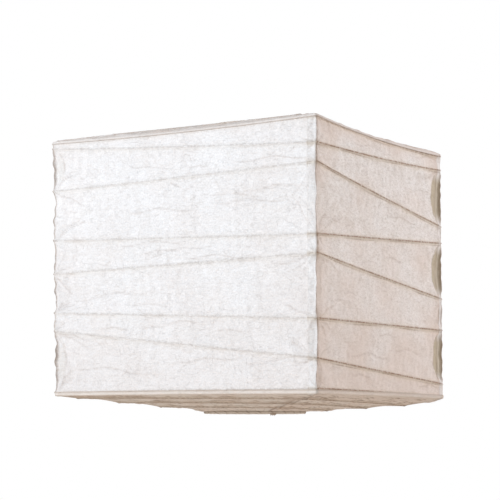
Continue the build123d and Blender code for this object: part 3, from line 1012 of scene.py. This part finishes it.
def binding_object(end):
    """Paper wound round a ring's wire, its edge a step that spirals round."""
    own = np.random.default_rng(300 + len(end))
    count, around = BINDING_STEPS
    a = np.linspace(0, 2 * math.pi, count, endpoint=False)[:, None]
    b = np.linspace(0, 2 * math.pi, around, endpoint=False)[None, :]
    phase = (b / (2 * math.pi) + BINDING_TURNS * a / (2 * math.pi) + 0.1 * np.sin(5 * a)) % 1
    least, more = BINDING_SWELL
    radius = BINDING_RADIUS * (least + more * phase)
    radius = radius + 0.09 * MM * np.sin(37 * a + 3 * b + own.uniform(0, 6))
    radius = radius + 0.07 * MM * np.sin(91 * a - 5 * b) + 0.05 * MM * np.sin(203 * a + 2 * b)
    ring = RING_RADIUS + radius * np.cos(b)
    z = RING_Z[end] + radius * np.sin(b)
    points = closed(np.stack([ring * np.cos(a), ring * np.sin(a), z], axis=-1))
    step = closed(phase)
    # painted shade along the step of the strip's edge
    fold = bell(np.minimum(step, 1 - step), BINDING_STEP)
    u = np.linspace(0, 2 * math.pi * RING_RADIUS, count + 1)[:, None] * BINDING_TEXTURE
    v = np.linspace(0, 2 * math.pi * BINDING_RADIUS, around + 1)[None, :] * BINDING_TEXTURE
    paint = {"sheet": texture_place(u, v, "binding"), "fold": fold}
    piece = grid_object(f"{end}_binding_wrap", points, paint)
    cage = bmesh.new()
    cage.from_mesh(piece.data)
    bmesh.ops.remove_doubles(cage, verts=cage.verts, dist=SAME)
    bmesh.ops.recalc_face_normals(cage, faces=cage.faces)
    cage.to_mesh(piece.data)
    cage.free()
    return piece


for end, body in (("top", "shade"), ("bottom", "bottom_ring")):
    piece = binding_object(end)
    piece.data.materials.append(PAPERS["binding"])
    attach(piece, body)
    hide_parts(f"{end}_binding")


def tail_object():
    """The torn loose end of the bottom binding."""
    low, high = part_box("binding_tail")
    centre = (low + high) / 2
    drop = high.z - low.z + TAIL_UP
    across, down = TAIL_STEPS
    s = np.linspace(-0.5, 0.5, across)[None, :]
    t = np.linspace(0, 1, down)[:, None]
    ragged = 1 - 0.28 * np.abs(np.sin(9 * s + 1)) - 0.18 * np.sin(23 * s) ** 2
    turn = math.atan2(centre.y, centre.x) + s * TAIL_WIDTH * (1 - 0.25 * t) / RING_RADIUS
    radius = RING_RADIUS + 0.9 * MM * np.sin(2.6 * t) + 0.5 * MM * np.sin(8 * s + 3 * t)
    z = high.z + TAIL_UP - drop * t * ragged
    rows = np.broadcast_arrays(radius * np.cos(turn), radius * np.sin(turn), z)
    sheet = texture_place(s * TAIL_WIDTH, t * drop, "tail")
    paint = {"sheet": sheet, "fold": np.full(sheet.shape[:2], TAIL_FOLD)}
    piece = grid_object("binding_tail_scrap", np.stack(rows, axis=-1), paint)
    thick = piece.modifiers.new("paper", "SOLIDIFY")
    thick.thickness = TAIL_PAPER
    thick.offset = 0
    return piece


tail = tail_object()
tail.data.materials.append(PAPERS["binding"])
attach(tail, "bottom_ring")
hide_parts("binding_tail")

# ---------- the CAD metal
METALS = (
    (RING_METAL, ("top_ring", "bottom_ring")),
    (STRETCHER, ("lampholder_ring", "stretcher_foot_bar", "stretcher_leg_left", "stretcher_leg_right")),
)
for material, nodes in METALS:
    for node in nodes:
        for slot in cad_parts[node].material_slots:
            slot.material = material

# ---------- camera
CAMERA_DISTANCE = 2.132
CAMERA_TURN = math.radians(29.01)  # where it stands, round from the front
CAMERA_YAW = math.radians(29.17)  # and where it looks
CAMERA_PITCH = math.radians(5.94)
CAMERA_BELOW = 0.0422  # under the lower corners
CAMERA_LENS, CAMERA_SENSOR = 126.1, 36.0  # in mm
CAMERA_REACH = 50

scene.view_settings.view_transform = "Standard"


def around(distance, angle, z):
    """A place round the lantern. Angle 0 is in front, and a quarter turn is to the right."""
    return (distance * math.sin(angle), -distance * math.cos(angle), z)


camera = linked("camera", bpy.data.cameras.new("camera"))
camera.data.lens = CAMERA_LENS
camera.data.sensor_width = CAMERA_SENSOR
camera.data.clip_end = CAMERA_REACH
camera.location = around(CAMERA_DISTANCE, CAMERA_TURN, LOWER - CAMERA_BELOW)
camera.rotation_euler = (QUARTER + CAMERA_PITCH, 0, CAMERA_YAW)
scene.camera = camera

# ---------- light
WORLD_TINT, WORLD_STRENGTH = (1.0, 0.86, 0.73), 0.34
SOFTBOXES = (  # name, azimuth and elevation in degrees, distance, size, power and colour
    ("key", -17, 14, 2.6, 0.9, 91, (0.75, 0.87, 0.995)),
    ("fill", 122, 22, 2.6, 1.0, 67, (0.88, 0.92, 1.0)),
    ("rear", 222, -3, 2.8, 1.0, 40, (1.0, 0.97, 0.94)),
)
for name, azimuth, elevation, distance, size, power, tint in SOFTBOXES:
    lamp = linked(name, bpy.data.lights.new(name, "AREA"))
    lamp.data.shape = "SQUARE"
    lamp.data.size = size
    lamp.data.energy = power
    lamp.data.color = tint
    turn, rise = math.radians(azimuth), math.radians(elevation)
    height = (UPPER + LOWER) / 2 + distance * math.sin(rise)
    lamp.location = around(distance * math.cos(rise), turn, height)
    lamp.rotation_euler = (QUARTER - rise, 0, turn)

# The world is white to the camera, and a dim warm light to everything else.
n = Nodes(bpy.data.worlds.new("studio"), "OutputWorld")
direct = n.add("LightPath").outputs["Is Camera Ray"]
seen = n.add("Background", {"Color": colour((1, 1, 1))})
lighting = n.add("Background", {"Color": colour(WORLD_TINT), "Strength": WORLD_STRENGTH})
mixed = n.add("MixShader", {0: direct, 1: lighting.outputs[0], 2: seen.outputs[0]})
scene.world = n.finish(mixed.outputs[0])

# ---------- floor
FLOOR_DROP = 1.9  # under the bottom ring
FLOOR_RADIUS = 9.0
FLOOR_TINTS = (0.86, 0.8, 0.73), (0.9, 0.84, 0.77)
FLOOR_GLOW, FLOOR_GLOW_STRENGTH = (1.0, 0.97, 0.95), 0.17


def floor_material():
    """Plain pale plaster in two tones, slightly bright of itself."""
    n = Nodes(bpy.data.materials.new("floor"))
    at = n.add("TexCoord").outputs["Object"]
    tone = n.mix(n.remap(n.noise(at, 3, 2), 0.3, 0.7), *(colour(tint) for tint in FLOOR_TINTS))
    inputs = {"Base Color": tone, "Roughness": 0.7, "Emission Strength": FLOOR_GLOW_STRENGTH}
    shader = n.add("BsdfPrincipled", {**inputs, "Emission Color": colour(FLOOR_GLOW)})
    return n.finish(shader.outputs[0])


place = (0, 0, RING_Z["bottom"] - FLOOR_DROP)
bpy.ops.mesh.primitive_circle_add(vertices=96, radius=FLOOR_RADIUS, fill_type="NGON", location=place)
floor = bpy.context.object
floor.name = "floor"
floor.data.materials.append(floor_material())
